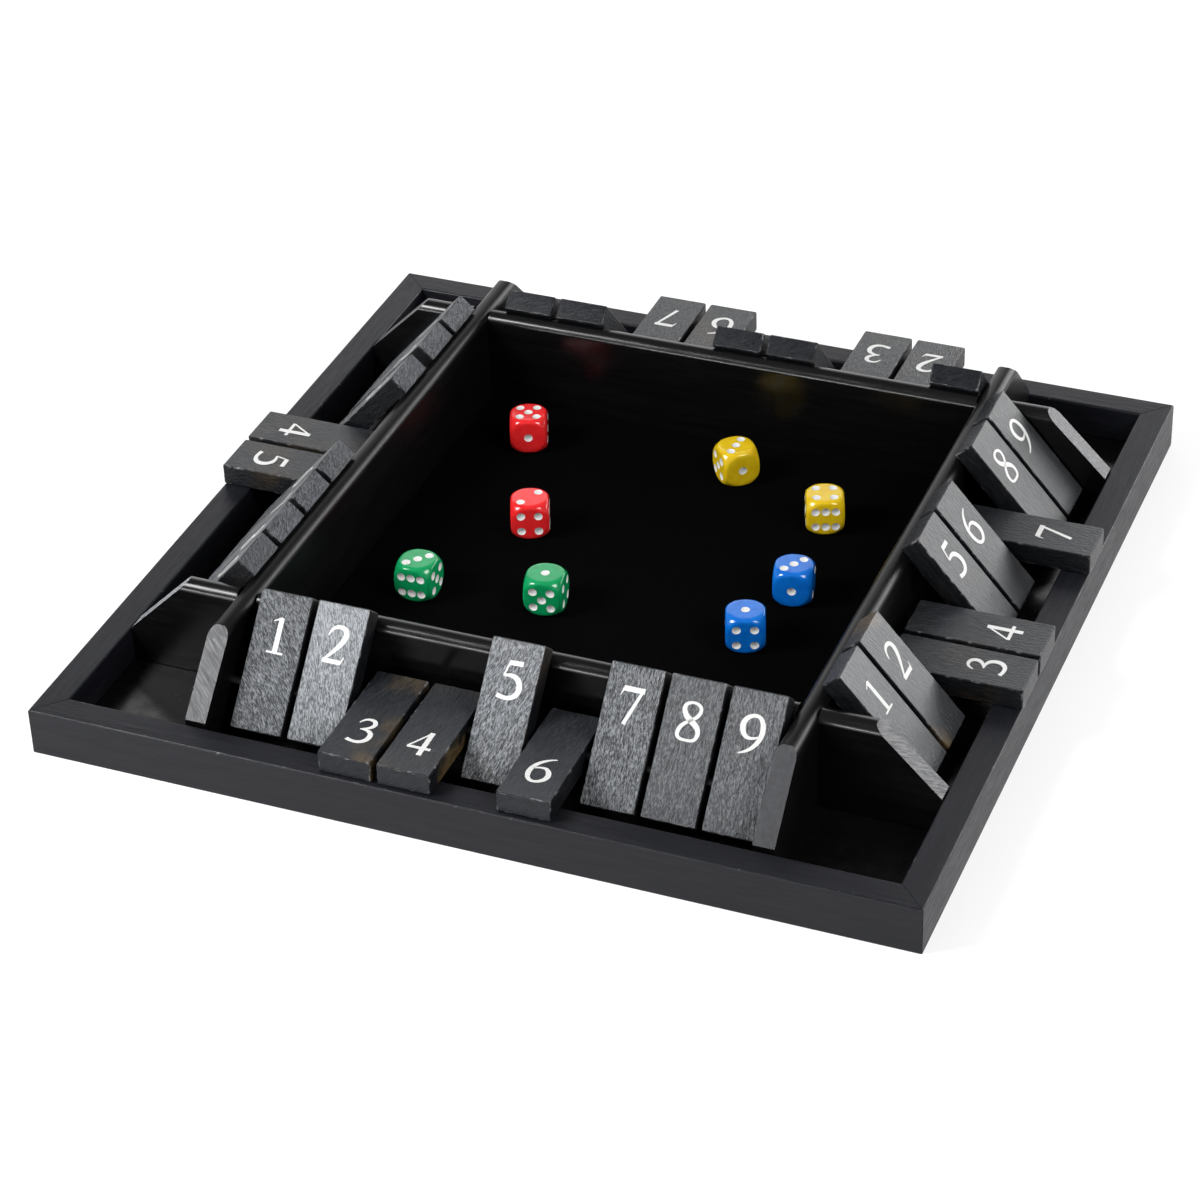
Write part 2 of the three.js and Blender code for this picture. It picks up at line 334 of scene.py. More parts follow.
def show_bare_wood(tree, grain, colour, bare):
    thin = combine(tree, "MULTIPLY", grain.outputs["Patches"], mark_on_mesh(tree, "thin_stain"))
    shows = combine(tree, "MULTIPLY", thin, remap(tree, grain.outputs["Streaks"], 0, 1, LEAST_BARE, 1.0))
    return mix_colour(tree, shows, colour, bare)


# Painted glare: where the mesh's glare number is high, a pale tone is mixed into the colour on the raised
# grain in place of the lamps' glare, and the bump rises there. Where its sheen number is high, the same pale
# tone is laid over everything as a painted sheen.
def add_painted_glare(tree, grain, colour, height, glare_tone):
    painted_glare = mark_on_mesh(tree, "painted_glare")
    raised = combine(tree, "ADD", combine(tree, "MULTIPLY", grain.outputs["Flecks"], FLECK_SHARE),
                     combine(tree, "MULTIPLY", grain.outputs["Pores"], PORE_SHARE))
    raised = combine(tree, "MULTIPLY", remap(tree, raised, GLARE_FROM, GLARE_FULL), painted_glare)
    glare_share = combine(tree, "ADD", raised, mark_on_mesh(tree, "painted_sheen"))
    rise = combine(tree, "ADD", painted_glare, PLAIN_GRAIN_HEIGHT)
    return mix_colour(tree, glare_share, colour, glare_tone), combine(tree, "MULTIPLY", height, rise)


# %% One wood finish
# The optional pale tone is the colour of the painted glare and the painted sheen.
def wood_finish(name, dark, light, worn, rough, stretch, fineness, depth, least, bare=None, glare_tone=None,
                lean=None, **constants):
    material, tree, shader = new_material(name, dark, rough[0], **constants)
    spot = plank_place(tree)
    if lean:
        turned = add_node(tree, "ShaderNodeMapping")
        turned.inputs["Rotation"].default_value = [math.radians(a) for a in lean]
        tree.links.new(spot, turned.inputs["Vector"])
        spot = turned.outputs["Vector"]
    grain = use_group(tree, grain_group, Stretch=stretch, Fineness=fineness)
    wear = use_group(tree, wear_group, Least=least)
    tree.links.new(spot, grain.inputs["Place"])
    tree.links.new(spot, wear.inputs["Place"])
    colour = mix_colour(tree, grain.outputs["Streaks"], dark, light)
    if bare:
        colour = show_bare_wood(tree, grain, colour, bare)
    fine = combine(tree, "MULTIPLY", grain.outputs["Pores"], PORE_HEIGHT)
    height = combine(tree, "ADD", grain.outputs["Flecks"], fine)
    if glare_tone:
        colour, height = add_painted_glare(tree, grain, colour, height, glare_tone)
    colour = mix_colour(tree, wear.outputs["Worn"], colour, worn)
    tree.links.new(colour, shader.inputs["Base Color"])
    tree.links.new(remap(tree, grain.outputs["Pores"], 0, 1, *rough), shader.inputs["Roughness"])
    add_bump(tree, shader, height, depth)
    return material


# %% [markdown]
# ## The board's paints and stains
#
# How much a face mirrors matters as much as its colour. Sides that look down on the pale floor mirror it,
# so the frame and the sides of the tiles get a low specular level, and the faces of the tiles a high one.
# The left and right walls are duller than the front and back ones. Sawn slopes have a rougher, leaning
# grain. Depths of grain are in metres.

# %% Paints of the frame and the walls
frame_paint = wood_finish(
    "frame_paint", dark=(0.0042, 0.0045, 0.0070), light=(0.0075, 0.0079, 0.0110), worn=(0.10, 0.10, 0.10),
    rough=(0.40, 0.52), stretch=(0.08, 1, 1), fineness=0.8, depth=0.00006, least=0.63,
    Specular_IOR_Level=0.26)
WALL_TONES = {"dark": (0.0018, 0.0018, 0.0020), "light": (0.0030, 0.0030, 0.0034), "worn": (0.05, 0.05, 0.05),
              "stretch": (0.08, 1, 1), "fineness": 0.5, "least": 0.68}
wall_paint = wood_finish(
    "wall_paint", **WALL_TONES, rough=(0.18, 0.26), depth=0.0000015, Specular_IOR_Level=0.46)
side_wall_paint = wood_finish(
    "side_wall_paint", **WALL_TONES, rough=(0.30, 0.38), depth=0.000002, Specular_IOR_Level=0.18)
# The sawn slopes' pale tone is painted glare.
sawn_paint = wood_finish(
    "sawn_paint", dark=(0.006, 0.007, 0.010), light=(0.018, 0.019, 0.024), worn=(0.14, 0.14, 0.14),
    rough=(0.40, 0.60), stretch=(0.12, 1, 1), fineness=1.0, depth=0.00022, least=0.60,
    glare_tone=(0.36, 0.38, 0.41), lean=(0, -45, -45), Specular_IOR_Level=0.62)
print("paints", frame_paint.name, wall_paint.name, side_wall_paint.name, sawn_paint.name)

# %% Stains of the tiles
tile_stain = wood_finish(
    "tile_stain", dark=(0.0025, 0.0030, 0.0040), light=(0.0080, 0.0090, 0.0110), worn=(0.12, 0.12, 0.125),
    rough=(0.34, 0.50), stretch=(1, 0.3, 1), fineness=1.6, depth=0.00020, least=0.54,
    bare=(0.085, 0.056, 0.024), Specular_IOR_Level=0.16)
# The pale tones of the tile faces and of the end grain are painted glare and painted sheen.
tile_face = wood_finish(
    "tile_face", dark=(0.0055, 0.0068, 0.0092), light=(0.018, 0.021, 0.026), worn=(0.15, 0.15, 0.155),
    rough=(0.34, 0.50), stretch=(1, 0.2, 1), fineness=2.1, depth=0.00090, least=0.54,
    bare=(0.085, 0.056, 0.024), glare_tone=(0.46, 0.485, 0.515), Specular_IOR_Level=0.7)
end_grain = wood_finish(
    "end_grain", dark=(0.0045, 0.0055, 0.0075), light=(0.012, 0.0135, 0.017), worn=(0.15, 0.15, 0.155),
    rough=(0.26, 0.40), stretch=(0.3, 1, 1), fineness=1.6, depth=0.00030, least=0.54,
    bare=(0.045, 0.030, 0.018), glare_tone=(0.20, 0.22, 0.25), lean=(0, 35, 0), Specular_IOR_Level=0.22)
print("stains", tile_stain.name, tile_face.name, end_grain.name)

# %% [markdown]
# ## Paint, plastic, felt and steel
#
# The numerals are thick white paint, so they have a faint unevenness. The dice are moulded and polished:
# one colour that varies a little in depth, with hardly any roughness. The felt is almost black, and what
# shows it as cloth is a deep, fine bump. The rods are dulled steel wire, hardly seen between the tiles.

# %% Smooth finishes
SMEARS_FINER, RIPPLES_FINER = 4, 3
LEAST_ROUGH, MOST_ROUGH = 0.8, 1.35


def smooth_finish(name, first, second, roughness, scale, depth, **constants):
    material, tree, shader = new_material(name, first, roughness, **constants)
    spot = object_place(tree)
    clouds = noise(tree, spot, scale, detail=4, roughness=0.6)
    colour = mix_colour(tree, remap(tree, clouds, 0.35, 0.65), first, second)
    tree.links.new(colour, shader.inputs["Base Color"])
    smears = noise(tree, spot, scale * SMEARS_FINER, detail=3, roughness=0.6)
    uneven = remap(tree, smears, 0.3, 0.7, roughness * LEAST_ROUGH, roughness * MOST_ROUGH)
    tree.links.new(uneven, shader.inputs["Roughness"])
    add_bump(tree, shader, noise(tree, spot, scale * RIPPLES_FINER, detail=3, roughness=0.6), depth)
    return material


numeral_paint = smooth_finish("numeral_paint", (0.62, 0.62, 0.61), (0.56, 0.56, 0.55),
                              roughness=0.45, scale=900, depth=0.00002)
pip_paint = smooth_finish("pip_paint", (0.64, 0.64, 0.63), (0.58, 0.58, 0.57),
                          roughness=0.35, scale=700, depth=0.00001)
panel_paint = smooth_finish("panel_paint", (0.0020, 0.0020, 0.0023), (0.0030, 0.0030, 0.0034),
                            roughness=0.22, scale=40, depth=0.000004)
felt = smooth_finish("tray_felt", (0.0008, 0.0008, 0.0009), (0.0014, 0.0014, 0.0016),
                     roughness=0.95, scale=1800, depth=0.00035, Specular_IOR_Level=0.02)
rod_steel = smooth_finish("rod_steel", (0.065, 0.065, 0.068), (0.045, 0.045, 0.047),
                          roughness=0.45, scale=400, depth=0.00001, Metallic=1.0)
DICE_COLOURS = {
    "red": ((0.70, 0.020, 0.022), (0.62, 0.013, 0.016)),
    "green": ((0.004, 0.275, 0.092), (0.003, 0.220, 0.068)),
    "yellow": ((0.64, 0.46, 0.010), (0.60, 0.38, 0.006)),
    "blue": ((0.003, 0.140, 0.54), (0.002, 0.105, 0.46)),
}
dice_plastic = {colour: smooth_finish(f"{colour}_plastic", *pair, roughness=0.12, scale=300, depth=0.000004)
                for colour, pair in DICE_COLOURS.items()}
print("materials", len(bpy.data.materials))

# %% [markdown]
# ## The frame
#
# Four rails meet at mitred corners, and a step under each rail takes the base panel. One way is a square
# ring with a hole in it, but then the corners have no joint line. So one rail is made from its section,
# extruded along its length and cut at 45 degrees at both ends, and then used four times. Each rail takes
# its grain from another part of the noise, so that no two look alike.

# %% Extruding a face, cutting with a plane, and finding the edges on top
touch = MM / 100


def push_out(bm, faces, way):
    grown = bmesh.ops.extrude_face_region(bm, geom=faces)["geom"]
    bmesh.ops.translate(bm, vec=way, verts=[v for v in grown if isinstance(v, bmesh.types.BMVert)])
    bmesh.ops.recalc_face_normals(bm, faces=bm.faces)


def trim(bm, spot, normal):
    cut = bmesh.ops.bisect_plane(bm, geom=bm.verts[:] + bm.edges[:] + bm.faces[:], dist=1e-7,
                                 plane_co=spot, plane_no=normal, clear_outer=True)
    rim = [e for e in cut["geom_cut"] if isinstance(e, bmesh.types.BMEdge)]
    bmesh.ops.contextual_create(bm, geom=rim)


def edges_on_top(bm, top):
    return [e for e in bm.edges if all(v.co.z > top - touch for v in e.verts)]


# %% Frame rails
mitre_seam = 0.05 * MM
rail_round, rail_arris = 0.9 * MM, 0.18 * MM
rail_grain_step = Vector((0.37, 0.21, 0.13))


def rail_mesh():
    bm = bmesh.new()
    section = [(-frame_half, 0), (-frame_half, frame_top), (-frame_inner, frame_top),
               (-frame_inner, rebate_up), (-rebate_out, rebate_up), (-rebate_out, 0)]
    corners = [bm.verts.new((-frame_half, y, z)) for y, z in section]
    end = bmesh.ops.contextual_create(bm, geom=corners)["faces"]
    push_out(bm, end, (2 * frame_half, 0, 0))
    for sign in (1, -1):
        trim(bm, Vector((sign * (frame_half - mitre_seam), -frame_half, 0)), Vector((sign, 1, 0)))
    upper = [e for e in edges_on_top(bm, frame_top) if abs(e.verts[0].co.y - e.verts[1].co.y) < touch]
    ease(bm, upper, rail_round, segments=4)
    ease(bm, sharp_edges(bm), rail_arris, segments=2)
    return bm


for turn, side in enumerate(SIDES):
    bm = rail_mesh()
    mark_grain(bm, rail_grain_step * turn)
    place(bm, quarter_turns(turn))
    make_piece(f"rail_{side}", bm, "board", [f"frame_rail_{side}"], [frame_paint])
print("rails", len(SIDES))

# %% [markdown]
# ## The tray walls
#
# Each wall is a bar with a rounded top. The section starts from one point that is spun over the top to the
# other side. The ends are cut down to the frame at 45 degrees, with a soft turn from the top into the
# slope: the turn is a row of cuts, each leaning a little more than the last, that all touch one circle.
# The walls cross in half laps, which are carved out with boxes.

# %% Section of a wall
arch_steps = 28


def wall_section(bm, top):
    shoulder = top - bead_radius
    round_radius = (wall_half ** 2 + bead_radius ** 2) / (2 * bead_radius)
    start = bm.verts.new((0, -wall_half, shoulder))
    bmesh.ops.spin(bm, geom=[start], cent=(0, 0, top - round_radius), axis=(-1, 0, 0),
                   angle=2 * math.asin(wall_half / round_radius), steps=arch_steps, use_merge=False,
                   use_duplicate=False)
    arc_end = max(bm.verts, key=lambda v: v.co.y)
    chain = [start]
    for y, z in [(-wall_half, wall_foot), (wall_half, wall_foot)]:
        chain.append(bm.verts.new((0, y, z)))
    chain.append(arc_end)
    for first, second in zip(chain, chain[1:]):
        bm.edges.new((first, second))
    return bmesh.ops.contextual_create(bm, geom=bm.edges[:])["faces"]


# %% Ends of a wall, and the soft turn from its top into the slope
turn_radius, turn_steps = 1.6 * MM, 4
SHORT_END = {"left": -1, "right": 1}


def slope_ends(bm, side):
    turn_up = wall_top[side] - turn_radius
    turn_along = frame_inner + frame_top - turn_up - turn_radius * math.sqrt(2)
    for sign in (-1, 1):
        if SHORT_END.get(side) == sign:
            trim(bm, Vector((sign * (wall_reach - set_back), 0, 0)), Vector((sign, 0, 0)))
        for step in range(1, turn_steps + 1):
            lean = math.radians(45) * step / turn_steps
            out = Vector((sign * math.sin(lean), 0, math.cos(lean)))
            trim(bm, Vector((sign * turn_along, 0, turn_up)) + turn_radius * out, out)


# %% Boxes that cut the half laps
lap_height, lap_play, lap_side_play = 26 * MM, 0.15 * MM, 0.05 * MM
above_walls = 0.1


def lap_cutters(side):
    if side in ("left", "right"):
        low, high = 0, lap_height + lap_play
    else:
        low, high = lap_height - lap_play, above_walls
    half = wall_half + lap_side_play
    cutters = bmesh.new()
    for sign in (-1, 1):
        block = bmesh.ops.create_cube(cutters, size=1)["verts"]
        bmesh.ops.scale(cutters, vec=(2 * half, 4 * wall_half, high - low), verts=block)
        bmesh.ops.translate(cutters, vec=(sign * wall_middle, 0, (low + high) / 2), verts=block)
    return cutters


# %% [markdown]
# ## Carving
#
# A Boolean modifier takes one closed mesh out of another. Modifiers work on objects, so both meshes become
# objects for a moment, and the result is read back. Two empty material slots on each let the modifier keep
# the slot number of every face, which the dice need for their painted pips.

# %% Carving one mesh out of another
def finished_mesh(thing):
    ready = thing.evaluated_get(bpy.context.evaluated_depsgraph_get())
    bm = bmesh.new()
    bm.from_mesh(ready.to_mesh())
    ready.to_mesh_clear()
    return bm


def carve(bm, cutters, name):
    host = add_object(name, stored_mesh(name, bm))
    tool = add_object(name + "_tool", stored_mesh(name + "_tool", cutters))
    for thing in (host, tool):
        for _ in range(2):
            thing.data.materials.append(None)
    step = host.modifiers.new("carve", "BOOLEAN")
    step.operation = "DIFFERENCE"
    step.solver = "EXACT"
    step.object = tool
    result = finished_mesh(host)
    for thing in (host, tool):
        mesh = thing.data
        bpy.data.objects.remove(thing)
        bpy.data.meshes.remove(mesh)
    return result


# %% One wall
wall_arris, wall_crease_deg = 0.35 * MM, 38
SLOPE_SHARE = 0.69


def wall_mesh(side):
    bm = bmesh.new()
    end = wall_section(bm, wall_top[side])
    bmesh.ops.translate(bm, vec=(-wall_reach, 0, 0), verts=bm.verts)
    push_out(bm, end, (2 * wall_reach, 0, 0))
    slope_ends(bm, side)
    bm = carve(bm, lap_cutters(side), f"wall_{side}")
    ease(bm, sharp_edges(bm, wall_crease_deg), wall_arris, segments=3)
    for face in bm.faces:
        face.material_index = int(abs(face.normal.x) > SLOPE_SHARE and face.normal.z > SLOPE_SHARE)
    # The left half of the front wall is marked for painted glare, which only its sawn slope shows.
    painted_glare = bm.verts.layers.float.new("painted_glare")
    for vert in bm.verts:
        vert[painted_glare] = 1.0 if side == "front" and vert.co.x < 0 else 0.0
    return bm


# %% All four walls, with glare painted on the front one's left slope
wall_grain_step, walls_after = Vector((0.29, 0.17, 0.11)), 5


def off_by(piece, node):
    low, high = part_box(node)
    shown = [Vector(c) for c in piece.bound_box]
    return max(max(abs(min(v[i] for v in shown) - low[i]), abs(max(v[i] for v in shown) - high[i]))
               for i in range(3))


for turn, side in enumerate(SIDES):
    bm = wall_mesh(side)
    mark_grain(bm, wall_grain_step * (turn + walls_after))
    place(bm, Matrix.Translation((0, set_back, 0)) @ quarter_turns(turn)
          @ Matrix.Translation((0, -wall_middle, 0)))
    paint = side_wall_paint if side in ("left", "right") else wall_paint
    piece = make_piece(f"wall_{side}", bm, "board", [f"tray_wall_{side}"],
                       [paint, sawn_paint])
    print(side, "wall off its solid by mm", round(off_by(piece, f"tray_wall_{side}") / MM, 3))

# %% [markdown]
# ## The tray lining and the base panel
#
# The lining is felt glued to the tray floor. It is a thin slab with a softly rolled edge, and its nap is
# in the finish. The base panel and the rods are plain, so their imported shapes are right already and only
# need their finish.

# %% Lining, panel and rods
lining_round = 0.5 * MM


def box_mesh(low, high):
    bm = bmesh.new()
    bmesh.ops.create_cube(bm, size=1)
    bmesh.ops.scale(bm, vec=high - low, verts=bm.verts)
    bmesh.ops.translate(bm, vec=(low + high) / 2, verts=bm.verts)
    return bm


def finish_node(name, material):
    node = frame["nodes"][name]
    node.data.materials.clear()
    node.data.materials.append(material)


lining_low, lining_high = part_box("tray_lining")
bm = box_mesh(lining_low, lining_high)
ease(bm, edges_on_top(bm, lining_high.z), lining_round, segments=3)
bmesh.ops.triangulate(bm, faces=[f for f in bm.faces if len(f.verts) > 4])
lining = make_piece("felt_lining", bm, "board", ["tray_lining"], [felt])
finish_node("base_panel", panel_paint)
for side in SIDES:
    finish_node(f"pivot_rod_{side}", rod_steel)
print("lining mm", [round(v / MM, 2) for v in lining_high - lining_low])

# %% [markdown]
# ## The numerals
#
# The numerals are upright serif figures with thick and thin strokes. A flat outline per figure would need
# many points, so each figure is drawn as a pen draws it: a few strokes, each a smooth line whose width
# changes from point to point. Blender sweeps a flat nib along such a line. Every stroke is a list of
# (across, up, width), in shares of the figure's height, and says whether its line is smooth. Each stroke
# lies a hair above the last one, so that no two share a plane where they cross. The 9 is the 6 turned
# upside down.

# %% Strokes of the nine figures
figure_middle, figure_rise = 0.34, 0.98
SIX = [([(0.60, 0.99, 0.03), (0.38, 0.93, 0.07), (0.10, 0.66, 0.12), (0.05, 0.26, 0.14),
         (0.18, -0.02, 0.09), (0.42, -0.04, 0.08), (0.64, 0.14, 0.14), (0.62, 0.46, 0.14),
         (0.40, 0.64, 0.07), (0.14, 0.50, 0.04)], True)]
FIGURES = {
    1: [([(0.35, 0.03, 0.13), (0.35, 0.97, 0.13)], False),
        ([(0.37, 0.97, 0.05), (0.14, 0.86, 0.03)], False),
        ([(0.11, 0.025, 0.05), (0.59, 0.025, 0.05)], False)],
    2: [([(0.09, 0.72, 0.03), (0.14, 0.92, 0.08), (0.34, 1.03, 0.09), (0.62, 0.94, 0.13),
          (0.58, 0.62, 0.15), (0.34, 0.34, 0.09), (0.08, 0.05, 0.05)], True),
        ([(0.06, 0.055, 0.11), (0.60, 0.055, 0.11)], False),
        ([(0.59, 0.05, 0.05), (0.66, 0.22, 0.02)], False)],
    3: [([(0.12, 0.80, 0.03), (0.18, 0.95, 0.07), (0.36, 1.03, 0.08), (0.60, 0.90, 0.13),
          (0.52, 0.62, 0.11), (0.24, 0.54, 0.04)], True),
        ([(0.24, 0.55, 0.04), (0.54, 0.56, 0.10), (0.68, 0.30, 0.15), (0.52, -0.02, 0.12),
          (0.24, -0.02, 0.08), (0.06, 0.06, 0.11)], True)],
    4: [([(0.45, 0.97, 0.05), (0.04, 0.32, 0.05)], False),
        ([(0.02, 0.30, 0.09), (0.68, 0.30, 0.09)], False),
        ([(0.46, 0.99, 0.13), (0.46, 0.00, 0.13)], False)],
    5: [([(0.22, 0.935, 0.12), (0.60, 0.945, 0.12)], False),
        ([(0.24, 0.97, 0.05), (0.14, 0.58, 0.04)], False),
        ([(0.14, 0.58, 0.05), (0.42, 0.66, 0.12), (0.68, 0.44, 0.15), (0.60, 0.04, 0.14),
          (0.30, -0.03, 0.08), (0.05, 0.05, 0.12)], True)],
    6: SIX,
    7: [([(0.08, 0.925, 0.13), (0.66, 0.925, 0.13)], False),
        ([(0.09, 0.92, 0.05), (0.03, 0.74, 0.02)], False),
        ([(0.61, 0.94, 0.07), (0.26, 0.00, 0.10)], False)],
    8: [([(0.34, 0.98, 0.06), (0.10, 0.96, 0.09), (0.10, 0.66, 0.13), (0.40, 0.48, 0.15),
          (0.64, 0.30, 0.12), (0.58, 0.00, 0.08), (0.34, -0.01, 0.06), (0.04, 0.00, 0.08),
          (0.06, 0.30, 0.12), (0.30, 0.50, 0.06), (0.60, 0.66, 0.10), (0.58, 0.96, 0.09),
          (0.34, 0.98, 0.06)], True)],
    9: [([(2 * figure_middle - x, figure_rise - y, w) for x, y, w in SIX[0][0]], True)],
}
print("strokes", {number: len(strokes) for number, strokes in FIGURES.items()})

# %% The pen, and the lines it draws
stroke_step, pen_weight = 0.0006, 1.08
LINE_ORDER, LINE_STEPS = 4, 6


def nib():
    curve = bpy.data.curves.new("nib", "CURVE")
    curve.dimensions = "3D"
    line = curve.splines.new("POLY")
    line.points.add(1)
    line.points[0].co = (-0.5, 0, 0, 1)
    line.points[1].co = (0.5, 0, 0, 1)
    return add_object("nib", curve)


def pen_lines(number, pen):
    curve = bpy.data.curves.new(f"figure_{number}", "CURVE")
    curve.dimensions = "3D"
    curve.twist_mode = "Z_UP"
    curve.bevel_mode = "OBJECT"
    curve.bevel_object = pen
    for order, (points, is_smooth) in enumerate(FIGURES[number]):
        line = curve.splines.new("NURBS" if is_smooth else "POLY")
        line.points.add(len(points) - 1)
        for point, (across, up, width) in zip(line.points, points):
            point.co = (across - figure_middle, up, order * stroke_step, 1)
            point.radius = width * pen_weight
        if is_smooth:
            line.order_u = LINE_ORDER
            line.use_endpoint_u = True
            line.resolution_u = LINE_STEPS
    return add_object(f"figure_{number}", curve)


# %% One figure as a thin film of paint
figure_height = 14.3 * MM
paint_film = 0.05 * MM
merge_within = 1e-5


def figure_mesh(number, pen):
    lines = pen_lines(number, pen)
    curve = lines.data
    bm = finished_mesh(lines)
    bpy.data.objects.remove(lines)
    bpy.data.curves.remove(curve)
    bmesh.ops.remove_doubles(bm, verts=bm.verts, dist=merge_within)
    bmesh.ops.scale(bm, vec=(figure_height, figure_height, figure_height), verts=bm.verts)
    bmesh.ops.reverse_faces(bm, faces=[f for f in bm.faces if f.normal.z < 0])
    push_out(bm, bm.faces[:], (0, 0, paint_film))
    return stored_mesh(f"figure_{number}_film", bm)


pen = nib()
figures = {number: figure_mesh(number, pen) for number in FIGURES}
bpy.data.objects.remove(pen)
print("figures", {n: len(m.polygons) for n, m in figures.items()})

# %% [markdown]
# ## The number tiles
#
# A tile is a block with lightly eased edges and a hole across it for the rod. It is modelled lying flat,
# with its rod at the origin, and gets its figure twice: on the face that shows when it is shut, and on the
# face that shows when it stands. Then it is turned to its pose and moved to its own hinge.

# %% Tile sizes and the lean of a standing tile
tile_head, tile_tail = 36.3 * MM, 18.1 * MM
tile_width, tile_thickness = 21.5 * MM, 9 * MM
tile_edge = 0.61 * MM
bore_radius, leaning_gap = 1.9 * MM, 0.3 * MM
pivot_out = frame_half - tile_head
pivot_up = hinges["front_1"]["pos_m"][2]


def lean_turn(side):
    across = pivot_out - wall_middle
    up = wall_top[side] - bead_radius - pivot_up
    offset = bead_radius + tile_thickness / 2 + leaning_gap
    return math.pi - (math.atan2(up, across) + math.asin(offset / math.hypot(across, up)))


print("standing turn in degrees", {side: round(math.degrees(lean_turn(side)), 2) for side in SIDES})

# %% One tile, lying flat about its rod
corner_round, bore_arris, bore_steps = 0.75 * MM, 0.2 * MM, 32
TILE_FINISHES = [tile_stain, numeral_paint, end_grain, tile_face]
FIGURE_PAINT, END_WOOD, FACE_WOOD = 1, 2, 3
FACING = 0.9


def tile_block():
    low = Vector((-tile_width / 2, -tile_head, -tile_thickness / 2))
    high = Vector((tile_width / 2, tile_tail, tile_thickness / 2))
    bm = box_mesh(low, high)
    upright = [e for e in bm.edges if abs(e.verts[0].co.z - e.verts[1].co.z) > tile_thickness / 2]
    ease(bm, upright, corner_round, segments=3)
    ease(bm, sharp_edges(bm), tile_edge, segments=3)
    drill = bmesh.new()
    bmesh.ops.create_cone(drill, cap_ends=True, segments=bore_steps, radius1=bore_radius,
                          radius2=bore_radius, depth=2 * tile_width,
                          matrix=Matrix.Rotation(math.pi / 2, 4, "Y"))
    bm = carve(bm, drill, "tile")
    ease(bm, sharp_edges(bm), bore_arris, segments=2)
    for face in bm.faces:
        if abs(face.normal.y) > FACING and abs(face.calc_center_median().y) > tile_tail - MM:
            face.material_index = END_WOOD
        if abs(face.normal.z) > FACING:
            face.material_index = FACE_WOOD
    return bm


block_mesh = stored_mesh("tile_block", tile_block())
print("faces of a tile", len(block_mesh.polygons))

# %% A figure on each face of a tile
figure_margin = 10.4 * MM
upper_place = Matrix.Translation((0, figure_margin - tile_head, tile_thickness / 2))
under_place = (Matrix.Translation((0, figure_margin - tile_head + figure_height, -tile_thickness / 2))
               @ Matrix.Rotation(math.pi, 4, "X"))


def add_figure(bm, number, matrix):
    before = len(bm.faces)
    start = len(bm.verts)
    bm.from_mesh(figures[number])
    bm.verts.ensure_lookup_table()
    bm.faces.ensure_lookup_table()
    bmesh.ops.transform(bm, matrix=matrix, verts=bm.verts[start:])
    for face in bm.faces[before:]:
        face.material_index = FIGURE_PAINT


# %% [markdown]
# ## What differs from tile to tile
#
# On a played board no two tiles look alike, and these tables hold what differs. They say how many degrees
# the grain leans, how thin the stain is, how much glare is painted on the raised grain, how much even sheen
# is painted over a tile, and how many millimetres a figure sits nearer the head. A tile that isn't in a table
# has the usual amount. One tile is bare along its right side, and the painted sheen is fainter from the rod
# to the tail.

# %% Tiles that differ from the rest
GRAIN_LEAN = {"front_1": 38, "front_2": 16, "front_5": -14, "left_5": 20}
USUAL_STAIN, BARE_STAIN, BARE_SIDED = 0.08, 3.0, "front_4"
THIN_STAIN = {"front_3": 1.3, "front_4": 0.2, "front_5": 0.35, "right_2": 3.0, "right_3": 0.3,
              "left_4": 0.3, "left_5": 0.4, "back_6": 0.4, "back_2": 0.35}
# Glare painted on the raised grain of each tile, as a share.
GLARE_BY_TILE = {"front_1": 0.55, "front_2": 1.0, "front_5": 0.85, "front_7": 0.65, "front_8": 0.3,
           "front_9": 0.36, "left_1": 0.5, "left_2": 0.4, "left_3": 0.45, "left_6": 0.35,
           "left_7": 0.45, "left_8": 0.5, "left_9": 0.3}
# Even sheen painted over each tile; on the tail only a share of it is painted.
SHEEN_BY_TILE = {"front_2": 0.38, "front_4": 0.02, "front_5": 0.12, "front_6": 0.02, "right_1": 0.11,
             "right_2": 0.07}
TAIL_SHEEN = 0.3
FIGURE_SHIFT = {"front_1": 0.9, "front_2": 1.8, "front_5": 2.7, "front_7": 2.3, "front_8": 1.4,
                "front_9": 1.0}
print("thinly stained", len(THIN_STAIN), "painted_glare", len(GLARE_BY_TILE), "sheen_layer", len(SHEEN_BY_TILE))


# %% One tile with its grain, stain and figures
def tile_mesh(body, number, turn):
    bm = bmesh.new()
    bm.from_mesh(block_mesh)
    usual_lean = (number * 7 + turn * 5) % 11 - 5
    mark_grain(bm, Vector((0.113 * number, 0.071 * turn + 0.037 * number, 0.053 * turn)),
               GRAIN_LEAN.get(body, usual_lean))
    stain = bm.verts.layers.float.new("thin_stain")
    # Each point carries its tile's painted glare and painted sheen, the sheen fainter on the tail.
    painted_glare = bm.verts.layers.float.new("painted_glare")
    sheen_layer = bm.verts.layers.float.new("painted_sheen")
    for vert in bm.verts:
        on_bare_side = body == BARE_SIDED and vert.co.x > tile_width / 2 - tile_edge / 3
        vert[stain] = BARE_STAIN if on_bare_side else THIN_STAIN.get(body, USUAL_STAIN)
        vert[painted_glare] = GLARE_BY_TILE.get(body, 0.0)
        vert[sheen_layer] = SHEEN_BY_TILE.get(body, 0.0) * (1.0 if vert.co.y < 0 else TAIL_SHEEN)
    nearer_head = Matrix.Translation((0, -FIGURE_SHIFT.get(body, 0.0) * MM, 0))
    add_figure(bm, number, nearer_head @ upper_place)
    add_figure(bm, number, nearer_head @ under_place)
    return bm


